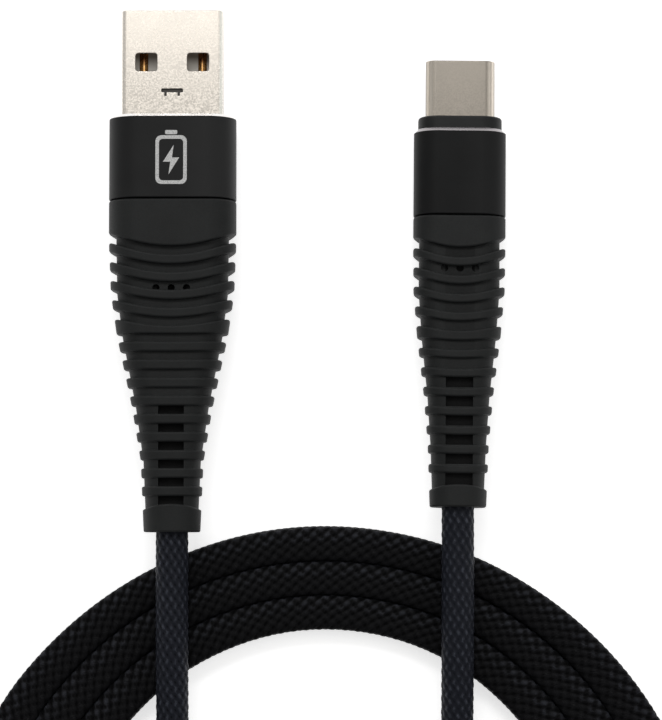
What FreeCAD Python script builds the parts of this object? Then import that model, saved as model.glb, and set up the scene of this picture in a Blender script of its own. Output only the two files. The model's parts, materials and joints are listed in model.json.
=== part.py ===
import FreeCAD, Part
import math
import os

import Sketcher
from FreeCAD import Placement, Rotation, Vector

# Braided charging cable: a type-A plug and a type-C plug on one cord, which lies in a flat coil.
#
# Row frame, in millimetres: +Y is the way both plugs point, +X runs from the type-A plug to the
# type-C plug and +Z is up from the table. The origin is on the table, in the middle of the plugs.
# Each plug is made in a frame of its own, with the origin in the middle of its sleeve's front
# face, +Y towards its tip and +Z up. A datum then puts it in the row frame: it leans on the
# sleeve's lower front edge, because the cord behind it lies across the coil.

os.makedirs("parts", exist_ok=True)
doc = FreeCAD.newDocument("charging_cable")

# ---------------------------------------------------------------------------- dimensions

SHARED = {
    "cord_diameter": 3.9,
    "jacket_diameter": 3.3,
    "shield_diameter": 2.7,
    "bundle_diameter": 2.4,
    "wire_diameter": 0.9,
    "wire_offset": 0.5,
    "clamp_diameter": 4.5,
    "clamp_length": 2.6,
    "clamp_from_layers": 0.9,
    "rib_round": 0.22,
    "slot_skin": 0.05,
    "seam_gap": 0.16,
    "edge_break": 0.12,
    "root_corner": 0.8,
    "layer_step": 0.3,
    "wire_tail": 0.7,
    "plug_spacing": 34.27,
    "coil_x": 2.8,
    "coil_y": -74.6,
    "coil_inner_radius": 31.6,
    "coil_outer_radius": 44.8,
}

TYPE_A = {
    "front_y": 18.29,
    "exit_height": 5.85,
    "yaw": 0.09,
    "shell_width": 12.0,
    "shell_height": 4.5,
    "shell_wall": 0.3,
    "shell_corner": 0.55,
    "shell_exposed": 12.61,
    "shell_buried": 6.5,
    "sleeve_width": 15.12,
    "sleeve_height": 8.0,
    "sleeve_corner": 3.6,
    "sleeve_wall": 0.5,
    "sleeve_length": 9.98,
    "sleeve_chamfer": 0.34,
    "nose_length": 0.0,
    "nose_round": 0.0,
    "rear_width": 12.0,
    "rear_height": 5.0,
    "layers_start": 12.4,
    "boot_length": 49.34,
    "block_end": 13.89,
    "block_sag": 1.85,
    "front_ribs": 4,
    "front_first": 14.9,
    "front_pitch": 2.245,
    "front_thick": 1.12,
    "wide_thick": 2.08,
    "wide_sag": 1.26,
    "rear_ribs": 9,
    "rear_first": 26.88,
    "rear_pitch": 2.122,
    "rear_thick": 1.15,
    "rear_sag": 0.14,
    "ring_front": 46.72,
    "ring_arch": 0.68,
    "ring_half_width": 3.33,
    "ring_half_height": 3.3,
    "shoulder_at": 21.1,
    "shoulder_half": 7.31,
    "middle_at": 26.1,
    "middle_half": 6.58,
    "waist_at": 34.6,
    "waist_half": 4.76,
    "neck_at": 41.0,
    "neck_half": 3.7,
    "groove_front": 0.9,
    "groove_rear": 0.32,
    "slot_width": 3.05,
    "slot_count": 6,
    "dot_diameter": 0.86,
    "dot_pitch": 1.8,
    "dot_depth": 1.0,
    "dots_at": 20.64,
    "window_width": 2.63,
    "window_length": 2.22,
    "window_corner": 0.38,
    "window_offset": 3.07,
    "window_from_tip": 6.25,
    "tab_width": 2.6,
    "tab_slit": 0.46,
    "tab_slit_corner": 0.18,
    "tab_from_tip": 9.88,
    "tab_leg_length": 0.42,
    "tab_leg_width": 0.28,
    "tab_leg_offset": 0.79,
    "tongue_width": 10.9,
    "tongue_thick": 1.84,
    "tongue_set_back": 0.6,
    "cavity_depth": 9.2,
    "contact_width": 1.0,
    "contact_thick": 0.25,
    "contact_proud": 0.12,
    "contact_set_back": 1.6,
    "short_contact_set_back": 2.6,
    "contact_tail": 9.0,
    "outer_pin": 3.5,
    "inner_pin": 1.0,
}

TYPE_C = {
    "front_y": 16.83,
    "exit_height": 5.75,
    "yaw": -0.55,
    "shell_width": 8.25,
    "shell_height": 2.4,
    "shell_wall": 0.28,
    "shell_corner": 1.18,
    "shell_exposed": 8.34,
    "shell_buried": 3.2,
    "sleeve_width": 10.98,
    "sleeve_height": 6.4,
    "sleeve_corner": 2.9,
    "sleeve_wall": 0.5,
    "sleeve_length": 10.4,
    "sleeve_chamfer": 0.46,
    "nose_length": 1.45,
    "nose_round": 0.3,
    "rear_width": 8.0,
    "rear_height": 4.2,
    "layers_start": 12.43,
    "boot_length": 45.0,
    "block_end": 12.83,
    "block_sag": 1.55,
    "front_ribs": 4,
    "front_first": 14.02,
    "front_pitch": 2.32,
    "front_thick": 1.04,
    "wide_thick": 1.55,
    "wide_sag": 1.0,
    "rear_ribs": 7,
    "rear_first": 25.96,
    "rear_pitch": 2.26,
    "rear_thick": 0.99,
    "rear_sag": 0.6,
    "ring_front": 42.98,
    "ring_arch": 0.6,
    "ring_half_width": 3.33,
    "ring_half_height": 3.1,
    "shoulder_at": 19.33,
    "shoulder_half": 5.42,
    "middle_at": 24.83,
    "middle_half": 4.95,
    "waist_at": 31.83,
    "waist_half": 4.1,
    "neck_at": 37.83,
    "neck_half": 3.6,
    "groove_front": 0.72,
    "groove_rear": 0.33,
    "slot_width": 3.25,
    "slot_count": 6,
    "dot_diameter": 0.9,
    "dot_pitch": 1.83,
    "dot_depth": 0.45,
    "dots_at": 16.8,
    "mouth_width": 6.8,
    "mouth_height": 0.95,
    "mouth_depth": 6.1,
    "insulator_set_back": 0.3,
    "insulator_end": 4.5,
    "contact_width": 0.25,
    "contact_thick": 0.12,
    "contact_proud": 0.075,
    "contact_pitch": 0.5,
    "contact_set_back": 1.3,
    "contact_tail": 6.0,
    "latch_width": 0.3,
    "latch_height": 0.5,
    "latch_set_back": 1.6,
    "spring_width": 5.4,
    "spring_length": 2.4,
    "spring_thick": 0.1,
    "spring_set_back": 1.1,
    "board_width": 6.4,
    "board_thick": 0.8,
    "board_start": 4.5,
    "board_end": 10.5,
    "outer_pad": 2.4,
    "inner_pad": 0.8,
    "resistor_length": 1.0,
    "resistor_width": 0.5,
    "resistor_height": 0.35,
    "resistor_from_board": 2.9,
}

sheet = doc.addObject("Spreadsheet::Sheet", "dims")
cells = dict(SHARED)
for prefix, table in (("a_", TYPE_A), ("c_", TYPE_C)):
    cells.update({prefix + name: value for name, value in table.items()})
for row, (alias, value) in enumerate(cells.items(), start=1):
    sheet.set(f"A{row}", alias)
    sheet.set(f"B{row}", str(value))
    sheet.setAlias(f"B{row}", alias)
doc.recompute()


def size(alias):
    """The number in the cell with this alias."""
    return float(sheet.get(alias))


# ---------------------------------------------------------------------------- modelling helpers


def bind(item, formulas):
    """Bind properties of a document object to formulas on the sheet's cells."""
    for path, formula in formulas.items():
        item.setExpression(path, formula)
    return item


def prism(name, plane, width, height, length, at=("0", "0", "0"), corner=None):
    """A rectangle on the body's own plane, padded out of it. All the sizes are formulas.

    `at` is the rectangle's centre in the plane, and the pad's start out of the plane. On XZ the
    plane's own z points to -Y, and on XY to +Z. `corner` rounds the edges along the pad.
    """
    body = doc.addObject("PartDesign::Body", name)
    sketch = body.newObject("Sketcher::SketchObject", name + "_outline")
    support = next(f for f in body.Origin.OriginFeatures if f.Role == plane + "_Plane")
    sketch.AttachmentSupport = [(support, "")]
    sketch.MapMode = "FlatFace"
    corners = [Vector(-1, -1, 0), Vector(1, -1, 0), Vector(1, 1, 0), Vector(-1, 1, 0)]
    for i in range(4):
        sketch.addGeometry(Part.LineSegment(corners[i], corners[(i + 1) % 4]))
    for i in range(4):
        sketch.addConstraint(Sketcher.Constraint("Coincident", i, 2, (i + 1) % 4, 1))
    for i, direction in enumerate(("Horizontal", "Vertical", "Horizontal", "Vertical")):
        sketch.addConstraint(Sketcher.Constraint(direction, i))
    sketch.addConstraint(Sketcher.Constraint("Symmetric", 0, 1, 2, 1, -1, 1))
    wide = sketch.addConstraint(Sketcher.Constraint("DistanceX", 0, 1, 0, 2, 2.0))
    high = sketch.addConstraint(Sketcher.Constraint("DistanceY", 1, 1, 1, 2, 2.0))
    sketch.renameConstraint(wide, "wide")
    sketch.renameConstraint(high, "high")
    bind(sketch, {"Constraints.wide": width, "Constraints.high": height})
    bind(sketch, {f"AttachmentOffset.Base.{axis}": f for axis, f in zip("xyz", at)})
    pad = body.newObject("PartDesign::Pad", name + "_pad")
    pad.Profile = sketch
    bind(pad, {"Length": length})
    doc.recompute()
    if corner:
        along = Vector(0, 1, 0) if plane == "XZ" else Vector(0, 0, 1)
        round_edges(body, pad, corner, lambda edge: is_along(edge, along))
    return body


def is_along(edge, direction):
    """Is this a straight edge along the direction?"""
    if edge.Curve.TypeId != "Part::GeomLine":
        return False
    return abs(edge.tangentAt(edge.FirstParameter).dot(direction)) > 0.999


def round_edges(body, feature, radius, wanted, kind="Fillet"):
    """Fillet or chamfer the feature's wanted edges, with the radius or width from a formula."""
    edges = [f"Edge{i}" for i, edge in enumerate(feature.Shape.Edges, start=1) if wanted(edge)]
    dress = body.newObject(f"PartDesign::{kind}", f"{feature.Name}_{kind.lower()}")
    dress.Base = (feature, edges)
    bind(dress, {"Radius" if kind == "Fillet" else "Size": radius})
    doc.recompute()
    return dress


def cut(name, base, *tools):
    """The base with every tool taken out of it."""
    result = doc.addObject("Part::Cut", name)
    result.Base = base
    result.Tool = tools[0] if len(tools) == 1 else fuse(name + "_tools", *tools)
    return result


def fuse(name, *pieces):
    """All the pieces as one."""
    result = doc.addObject("Part::MultiFuse", name)
    result.Shapes = list(pieces)
    return result


def group(name, *pieces):
    """Separate solids that share a node."""
    result = doc.addObject("Part::Compound", name)
    result.Links = list(pieces)
    return result


def rod(name, radius, front, back, at=("0", "0")):
    """A cylinder along the plug's axis from `front` back to `back`, which are formulas of y."""
    item = doc.addObject("Part::Cylinder", name)
    item.Placement = Placement(Vector(0, 0, 0), Rotation(Vector(1, 0, 0), 90))
    return bind(
        item,
        {
            "Radius": radius,
            "Height": f"({front}) - ({back})",
            "Placement.Base.x": at[0],
            "Placement.Base.y": front,
            "Placement.Base.z": at[1],
        },
    )


def tube_end(name, outer, inner, front, back):
    """A ring-shaped layer along the plug's axis."""
    return cut(name, rod(name + "_outer", outer, front, back), rod(name + "_bore", inner, front, back))


def box(name, wide, long, high, at):
    """A box centred on x, from `at` y forwards and from `at` z upwards. All are formulas."""
    item = doc.addObject("Part::Box", name)
    return bind(
        item,
        {
            "Length": wide,
            "Width": long,
            "Height": high,
            "Placement.Base.x": f"{at[0]} - ({wide}) / 2",
            "Placement.Base.y": at[1],
            "Placement.Base.z": at[2],
        },
    )


def rounded_route(points, share=0.45):
    """Straight runs joined by tangent arcs that take `share` of the shorter run; the wire and radii."""
    edges = []
    radii = []
    start = points[0]
    for before, corner, after in zip(points, points[1:], points[2:]):
        back, onward = before - corner, after - corner
        reach = share * min(back.Length, onward.Length)
        back.normalize()
        onward.normalize()
        half_turn = (math.pi - back.getAngle(onward)) / 2
        radius = reach / math.tan(half_turn)
        inward = (back + onward).normalize()
        middle = corner + inward * (radius / math.cos(half_turn) - radius)
        first, last = corner + back * reach, corner + onward * reach
        edges.append(Part.LineSegment(start, first).toShape())
        edges.append(Part.Arc(first, middle, last).toShape())
        radii.append(radius)
        start = last
    edges.append(Part.LineSegment(start, points[-1]).toShape())
    return Part.Wire(edges), radii


def tube(name, points, diameter):
    """A round tube along a rounded route, with its diameter bound to a cell."""
    wire, radii = rounded_route(points)
    route = doc.addObject("Part::Feature", name + "_route")
    route.Shape = wire
    section = doc.addObject("Part::Circle", name + "_section")
    section.Placement = Placement(points[0], Rotation(Vector(0, 0, 1), points[1] - points[0]))
    bind(section, {"Radius": f"dims.{diameter} / 2"})
    sweep = doc.addObject("Part::Sweep", name)
    sweep.Sections = [section]
    sweep.Spine = (route, [])
    sweep.Solid = True
    doc.recompute()
    expected = math.pi * size(diameter) ** 2 / 4 * wire.Length
    if abs(sweep.Shape.Volume / expected - 1) > 0.01:
        raise RuntimeError(f"{name}: the tube's volume isn't its section times its length")
    return sweep, radii


# ---------------------------------------------------------------------------- where the plugs lie


def datum(plug):
    """The plug's place in the row frame: yawed a little, and tilted up towards its cord."""
    d = f"dims.{plug}_"
    side = {"a": "-", "c": "+"}[plug]
    middle = f"{side}dims.plug_spacing / 2 + (dims.a_sleeve_width - dims.c_sleeve_width) / 4"
    half = f"{d}sleeve_height / 2"
    tilt = f"asin(({d}exit_height - {half}) / {d}boot_length)"
    height = f"{half} * cos({tilt}) - {d}sleeve_chamfer * sin({tilt})"
    place = doc.addObject("App::Placement", f"type_{plug}_datum")
    place.setExpression(
        "Placement",
        f"create(<<placement>>; create(<<vector>>; {middle}; {d}front_y; {height}); "
        f"create(<<rotation>>; {d}yaw; 0; -{tilt}))",
    )
    doc.recompute()
    print(f"type_{plug} datum: {place.Placement}")


nodes = {}


def place(name, piece, plug=None):
    """Make the piece a node of the row: its place is its plug's datum, if it is part of a plug."""
    node = doc.addObject("Part::Compound", name)
    node.Label = name
    node.Links = [piece]
    if plug:
        node.setExpression("Placement", f"type_{plug}_datum.Placement")
    nodes[name] = node


# ---------------------------------------------------------------------------- boot


CORNER_SHARE = 0.88  # the boot's corner radius, as a share of its smaller half size
EDGE_REACH = 1.3  # how far a slab's edge curves run on, as a share of the boot's half width


def section(half_width, half_height, y):
    """The boot's outline across its axis: a rectangle with well rounded corners."""
    corner = CORNER_SHARE * min(half_width, half_height)
    x, z = half_width - corner, half_height - corner
    slant = corner * math.sqrt(0.5)
    edges = []
    for turn in range(4):
        sx, sz = ((1, 1), (-1, 1), (-1, -1), (1, -1))[turn]
        side = Vector(sx * half_width, y, sz * z)
        top = Vector(sx * x, y, sz * half_height)
        middle = Vector(sx * (x + slant), y, sz * (z + slant))
        first, last = (side, top) if sx * sz > 0 else (top, side)
        if edges:
            edges.append(Part.LineSegment(edges[-1].EndPoint, first))
        edges.append(Part.Arc(first, middle, last))
    edges.append(Part.LineSegment(edges[-1].EndPoint, edges[0].StartPoint))
    return Part.Wire([edge.toShape() for edge in edges])


def boot_outline(plug, groove_share):
    """The taper from the block to the end ring; groove_share 1 gives the bottom of the grooves."""
    d = plug + "_"
    block_half = size(d + "sleeve_width") / 2
    stations = [(size(d + "sleeve_length"), block_half), (size(d + "front_first"), block_half)]
    stations += [(size(f"{d}{s}_at"), size(f"{d}{s}_half")) for s in ("shoulder", "middle", "waist", "neck")]
    stations.append((size(d + "boot_length"), size(d + "ring_half_width")))
    start, end = size(d + "block_end"), size(d + "neck_at")
    heights = size(d + "sleeve_height") / 2, size(d + "ring_half_height")
    grooves = size(d + "groove_front"), size(d + "groove_rear")
    wires = []
    for back, half_width in stations:
        share = min(max((back - start) / (end - start), 0), 1)
        half_height = heights[0] + share * (heights[1] - heights[0])
        inset = groove_share * (grooves[0] + share * (grooves[1] - grooves[0]))
        wires.append(section(half_width - inset, half_height - inset, -back))
    return Part.makeLoft(wires, True, True)


def edge_curve(back, sag, half_width):
    """A slab's edge in plan: `back` at the boot's sides, and `sag` further back in the middle."""
    reach = EDGE_REACH * half_width
    side = -back + sag * (EDGE_REACH**2 - 1)
    ends = Vector(-reach, side, 0), Vector(reach, side, 0)
    if abs(sag) < 0.01:
        return Part.LineSegment(*ends)
    return Part.Arc(ends[0], Vector(0, -back - sag, 0), ends[1])


def slab(front, back, half_width, height):
    """A slice of the boot between two edge curves, each given as (place at the sides, sag)."""
    near = edge_curve(front[0], front[1], half_width)
    far = edge_curve(back[0], back[1], half_width)
    sides = [
        Part.LineSegment(near.EndPoint, far.EndPoint),
        Part.LineSegment(far.StartPoint, near.StartPoint),
    ]
    outline = Part.Wire(Part.__sortEdges__([c.toShape() for c in (near, far, *sides)]))
    solid = Part.Face(outline).extrude(Vector(0, 0, 2 * height))
    solid.translate(Vector(0, 0, -height))
    return solid


def soften(solid, radius):
    """Round the edges round the front and the back of one of the boot's slices."""
    ends = []
    for face in solid.Faces:
        u0, u1, v0, v1 = face.ParameterRange
        if abs(face.normalAt((u0 + u1) / 2, (v0 + v1) / 2).y) > 0.8:
            ends += face.Edges
    for share in (1.0, 0.8, 0.6, 0.4, 0.2):
        try:
            rounded = solid.makeFillet(share * radius, ends)
        except Part.OCCError:
            continue
        if rounded.isValid() and rounded.Volume > 0:
            return rounded
    print(f"a slice at y {solid.CenterOfMass.y:.1f} keeps its sharp edges")
    return solid


def rib_slices(plug):
    """The ribs from front to back: each as ((front, sag), (back, sag))."""
    d = plug + "_"
    slices = []
    count = int(size(d + "front_ribs"))
    sags = size(d + "block_sag"), size(d + "wide_sag")
    for i in range(count):
        front = size(d + "front_first") + i * size(d + "front_pitch")
        sag = sags[0] + (sags[1] - sags[0]) * i / count
        slices.append(((front, sag), (front + size(d + "front_thick"), sag)))
    front = size(d + "front_first") + count * size(d + "front_pitch")
    slices.append(((front, sags[1]), (front + size(d + "wide_thick"), size(d + "rear_sag"))))
    for i in range(int(size(d + "rear_ribs"))):
        front = size(d + "rear_first") + i * size(d + "rear_pitch")
        sag = size(d + "rear_sag")
        slices.append(((front, sag), (front + size(d + "rear_thick"), sag)))
    return slices


def boot_skin(plug):
    """The boot's ribbed outside, with its slots and its three dots, before it is hollowed."""
    d = plug + "_"
    outline = boot_outline(plug, 0)
    core = boot_outline(plug, 1)
    half_width, half_height = size(d + "sleeve_width") / 2, size(d + "sleeve_height") / 2
    ribs = rib_slices(plug)
    ring_front = (size(d + "ring_front"), -size(d + "ring_arch"))
    end = size(d + "boot_length")

    def slice_of(front, back, reach=half_width):
        return soften(outline.common(slab(front, back, reach, 1.2 * half_height)), size("rib_round"))

    floor = size("cord_diameter") / 2 + size("slot_skin")
    width = size(d + "slot_width")
    stops = [rib[0][0] for rib in ribs[1:]] + [ring_front[0]]
    for rib, stop in list(zip(ribs, stops))[-int(size(d + "slot_count")) :]:
        start = rib[1][0]
        for up in (1, -1):
            slot = Part.makeBox(width, stop - start + 0.8, half_height)
            slot.translate(Vector(-width / 2, -stop - 0.5, floor if up > 0 else -floor - half_height))
            core = core.cut(slot)
    for i in (-1, 0, 1):
        hole = Part.makeCylinder(size(d + "dot_diameter") / 2, half_height)
        share = (size(d + "dots_at") - size(d + "block_end")) / (size(d + "neck_at") - size(d + "block_end"))
        top = half_height + share * (size(d + "ring_half_height") - half_height)
        top -= size(d + "groove_front") + share * (size(d + "groove_rear") - size(d + "groove_front"))
        hole.translate(Vector(i * size(d + "dot_pitch"), -size(d + "dots_at"), top - size(d + "dot_depth")))
        core = core.cut(hole)
    block_front = size(d + "sleeve_length") + size("seam_gap")
    block = slice_of((block_front, 0), (size(d + "block_end"), size(d + "block_sag")))
    ring = slice_of(ring_front, (end, 0), size(d + "ring_half_width"))
    return core.multiFuse([block, ring] + [slice_of(*rib) for rib in ribs]).removeSplitter()


def boot(plug):
    """The flexible strain relief: its skin, less the mould's root, the clamp and the cord."""
    d = f"dims.{plug}_"
    name = f"type_{plug}_boot"
    skin = doc.addObject("Part::Feature", name + "_skin")
    skin.Shape = boot_skin(plug)
    root = mould_root(plug, name + "_root_space")
    clamp_front, clamp_back = clamp_span(plug)
    clamp = rod(name + "_clamp_space", "dims.clamp_diameter / 2", clamp_front, clamp_back)
    bore = rod(name + "_bore", "dims.cord_diameter / 2", f"0 - {d}sleeve_length + 1",
               f"0 - {d}boot_length - 1")
    place(name, cut(name + "_shape", skin, root, clamp, bore), plug)


# ---------------------------------------------------------------------------- parts that both plugs have


def clamp_span(plug):
    """The clamp ring's front and back along the axis, as formulas."""
    front = f"0 - dims.{plug}_layers_start - dims.clamp_from_layers"
    return front, f"{front} - dims.clamp_length"


def mould_root(plug, name):
    """The inner mould's narrow root, which the boot is moulded over."""
    d = f"dims.{plug}_"
    length = f"{d}layers_start + dims.clamp_from_layers - {d}sleeve_length"
    return prism(name, "XZ", d + "rear_width", d + "rear_height", length, ("0", "0", d + "sleeve_length"),
                 "dims.root_corner")


def sleeve(plug):
    """The aluminium sleeve, with a polished chamfer round its front edge."""
    d = f"dims.{plug}_"
    name = f"type_{plug}_sleeve"
    body = prism(name + "_outside", "XZ", d + "sleeve_width", d + "sleeve_height", d + "sleeve_length",
                 corner=d + "sleeve_corner")
    front_edge = round_edges(body, body.Tip, d + "sleeve_chamfer",
                             lambda edge: edge.BoundBox.YMin > -1e-6, "Chamfer")
    round_edges(body, front_edge, "dims.edge_break",
                lambda edge: edge.BoundBox.YMax < 1e-6 - size(plug + "_sleeve_length"))
    place(name, cut(name + "_shape", body, sleeve_space(plug, name + "_bore", d + "sleeve_length")), plug)


def sleeve_space(plug, name, length, nose="0"):
    """The space inside the sleeve, which the inner mould fills, from the nose back."""
    d = f"dims.{plug}_"
    wide, high = (f"{d}sleeve_{way} - 2 * {d}sleeve_wall" for way in ("width", "height"))
    return prism(name, "XZ", wide, high, f"{length} + {nose}", ("0", "0", f"0 - {nose}"),
                 f"{d}sleeve_corner - {d}sleeve_wall")


def mould(plug, contents):
    """The inner mould round the connector's back, the joints and the wires."""
    d = f"dims.{plug}_"
    name = f"type_{plug}_core_mould"
    front = sleeve_space(plug, name + "_front", d + "sleeve_length", d + "nose_length")
    if size(plug + "_nose_round"):
        nose = size(plug + "_nose_length")
        round_edges(front, front.Tip, d + "nose_round", lambda edge: edge.BoundBox.YMin > nose - 1e-6)
    shell_space = prism(name + "_shell_space", "XZ", d + "shell_width", d + "shell_height",
                        f"{d}shell_buried + 5", ("0", "0", "-5"), d + "shell_corner")
    blank = fuse(name + "_blank", front, mould_root(plug, name + "_root"))
    place(name, cut(name + "_shape", blank, shell_space, *contents), plug)


def cord_end(plug):
    """The cord's layers inside the plug: the screen, the jacket and the braid, and their clamp."""
    d = f"dims.{plug}_"
    back = f"0 - {d}boot_length"
    layers = []
    bores = ("bundle_diameter", "shield_diameter", "jacket_diameter")
    outsides = ("shield_diameter", "jacket_diameter", "cord_diameter")
    names = ("screen_end", "jacket_end", "braid_end")
    for i, (layer, bore, outside) in enumerate(zip(names, bores, outsides)):
        name = f"type_{plug}_{layer}"
        front = f"0 - {d}layers_start - {i} * dims.layer_step"
        layers.append(tube_end(name + "_shape", f"dims.{outside} / 2", f"dims.{bore} / 2", front, back))
        place(name, layers[-1], plug)
    name = f"type_{plug}_cable_clamp"
    clamp = tube_end(name + "_shape", "dims.clamp_diameter / 2", "dims.cord_diameter / 2", *clamp_span(plug))
    place(name, clamp, plug)
    return layers


def wires(plug, starts):
    """Four insulated wires, from their soldered ends into a square bundle inside the screen."""
    offset = size("wire_offset")
    corners = ((-offset, -offset), (-offset, offset), (offset, offset), (offset, -offset))
    gather = -size(f"{plug}_layers_start") + size("layer_step")
    made = []
    for colour, start, (x, z) in zip(("red", "white", "green", "black"), starts, corners):
        name = f"type_{plug}_wire_{colour}"
        points = [
            start,
            start + Vector(0, -size("wire_tail"), 0),
            Vector(x, gather, z),
            Vector(x, -size(f"{plug}_boot_length"), z),
        ]
        wire, _ = tube(name + "_shape", points, "wire_diameter")
        made.append(wire)
        place(name, wire, plug)
    return made


def solder(plug, spots, radii):
    """Four domes of solder, each standing on a flat spot."""
    domes = []
    for i, spot in enumerate(spots):
        dome = doc.addObject("Part::Ellipsoid", f"type_{plug}_solder_{i}")
        dome.Radius1, dome.Radius2, dome.Radius3 = radii[2], radii[0], radii[1]
        dome.Angle1 = 0
        dome.Placement = Placement(spot, Rotation())
        domes.append(dome)
    joints = group(f"type_{plug}_solder_shape", *domes)
    place(f"type_{plug}_solder_joints", joints, plug)
    return joints


# ---------------------------------------------------------------------------- type-A plug


def type_a_shell():
    """The steel shell: a folded tube with two latch windows above and below, and a lanced tab."""
    body = prism("type_a_shell_outside", "XZ", "dims.a_shell_width", "dims.a_shell_height",
                 "dims.a_shell_exposed + dims.a_shell_buried", ("0", "0", "0 - dims.a_shell_exposed"),
                 "dims.a_shell_corner")
    tip = size("a_shell_exposed")
    round_edges(body, body.Tip, "dims.edge_break", lambda edge: edge.BoundBox.YMin > tip - 1e-6, "Chamfer")
    bore = prism("type_a_shell_bore", "XZ", "dims.a_shell_width - 2 * dims.a_shell_wall",
                 "dims.a_shell_height - 2 * dims.a_shell_wall",
                 "dims.a_shell_exposed + dims.a_shell_buried", ("0", "0", "0 - dims.a_shell_exposed"),
                 "dims.a_shell_corner - dims.a_shell_wall")
    openings = [bore]
    window_y = "dims.a_shell_exposed - dims.a_window_from_tip"
    for side, sign in (("left", "0 - "), ("right", "")):
        openings.append(
            prism(f"type_a_window_{side}", "XY", "dims.a_window_width", "dims.a_window_length",
                  "dims.a_shell_height + 2",
                  (sign + "dims.a_window_offset", window_y, "0 - dims.a_shell_height / 2 - 1"),
                  "dims.a_window_corner"))
    slit_y = "dims.a_shell_exposed - dims.a_tab_from_tip"
    openings.append(
        prism("type_a_tab_slit", "XY", "dims.a_tab_width", "dims.a_tab_slit", "2",
              ("0", f"{slit_y} + dims.a_tab_slit / 2", "1"), "dims.a_tab_slit_corner"))
    leg_y = f"{slit_y} - dims.a_tab_leg_length"
    for side, sign in (("left", "0 - "), ("right", "")):
        openings.append(
            box(f"type_a_tab_leg_{side}", "dims.a_tab_leg_width", "dims.a_tab_leg_length + 0.1", "2",
                (sign + "dims.a_tab_leg_offset", leg_y, "1")))
    place("type_a_shell", cut("type_a_shell_shape", body, *openings), "a")


def type_a_contacts():
    """Four gold strips along the tongue: the outer two, for power and ground, reach further out."""
    top = "dims.a_tongue_thick + dims.a_shell_wall - dims.a_shell_height / 2"
    low = f"{top} + dims.a_contact_proud - dims.a_contact_thick"
    names = ("power", "data_minus", "data_plus", "ground")
    places = ("0 - dims.a_outer_pin", "0 - dims.a_inner_pin", "dims.a_inner_pin", "dims.a_outer_pin")
    made = []
    for name, x in zip(names, places):
        reach = "short_contact_set_back" if name.startswith("data") else "contact_set_back"
        long = f"dims.a_shell_exposed - dims.a_{reach} + dims.a_contact_tail"
        made.append(box(f"type_a_contact_{name}_shape", "dims.a_contact_width", long,
                        "dims.a_contact_thick", (x, "0 - dims.a_contact_tail", low)))
        place(f"type_a_contact_{name}", made[-1], "a")
    return made


def type_a_tongue(contacts):
    """The plastic insulator: a base that fills the shell's back, and a tongue under the contacts."""
    bottom = "dims.a_shell_wall - dims.a_shell_height / 2"
    middle = f"{bottom} + dims.a_tongue_thick / 2"
    base_front = "dims.a_shell_exposed - dims.a_cavity_depth"
    tongue = prism("type_a_tongue_blade", "XZ", "dims.a_tongue_width", "dims.a_tongue_thick",
                   "dims.a_shell_exposed - dims.a_tongue_set_back + dims.a_shell_buried",
                   ("0", middle, "dims.a_tongue_set_back - dims.a_shell_exposed"))
    base = prism("type_a_tongue_base", "XZ", "dims.a_tongue_width",
                 "dims.a_shell_height - 2 * dims.a_shell_wall",
                 f"{base_front} + dims.a_shell_buried", ("0", "0", f"0 - ({base_front})"))
    blank = fuse("type_a_tongue_blank", tongue, base)
    place("type_a_tongue", cut("type_a_tongue_shape", blank, *contacts), "a")


def type_a_plug():
    datum("a")
    type_a_shell()
    contacts = type_a_contacts()
    type_a_tongue(contacts)
    top = size("a_tongue_thick") + size("a_shell_wall") - size("a_shell_height") / 2 + size("a_contact_proud")
    pins = (-size("a_outer_pin"), -size("a_inner_pin"), size("a_inner_pin"), size("a_outer_pin"))
    tail = size("a_contact_tail")
    joints = solder("a", [Vector(x, -tail + 0.7, top) for x in pins], (0.45, 0.8, 0.6))
    ends = [Vector(x, -tail - 0.1, top + size("wire_diameter") / 2) for x in pins]
    layers = cord_end("a")
    mould("a", [*contacts, joints, *wires("a", ends), *layers])
    sleeve("a")
    boot("a")


# ---------------------------------------------------------------------------- type-C plug


def type_c_shell():
    """The drawn steel shell, with fully rounded sides."""
    length = "dims.c_shell_exposed + dims.c_shell_buried"
    start = ("0", "0", "0 - dims.c_shell_exposed")
    body = prism("type_c_shell_outside", "XZ", "dims.c_shell_width", "dims.c_shell_height", length, start,
                 "dims.c_shell_corner")
    tip = size("c_shell_exposed")
    round_edges(body, body.Tip, "0.1", lambda edge: edge.BoundBox.YMin > tip - 1e-6)
    bore = prism("type_c_shell_bore", "XZ", *type_c_bore(), length, start,
                 "dims.c_shell_corner - dims.c_shell_wall")
    place("type_c_shell", cut("type_c_shell_shape", body, bore), "c")


def type_c_bore():
    """The width and height of the space inside the shell."""
    return tuple(f"dims.c_shell_{way} - 2 * dims.c_shell_wall" for way in ("width", "height"))


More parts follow.
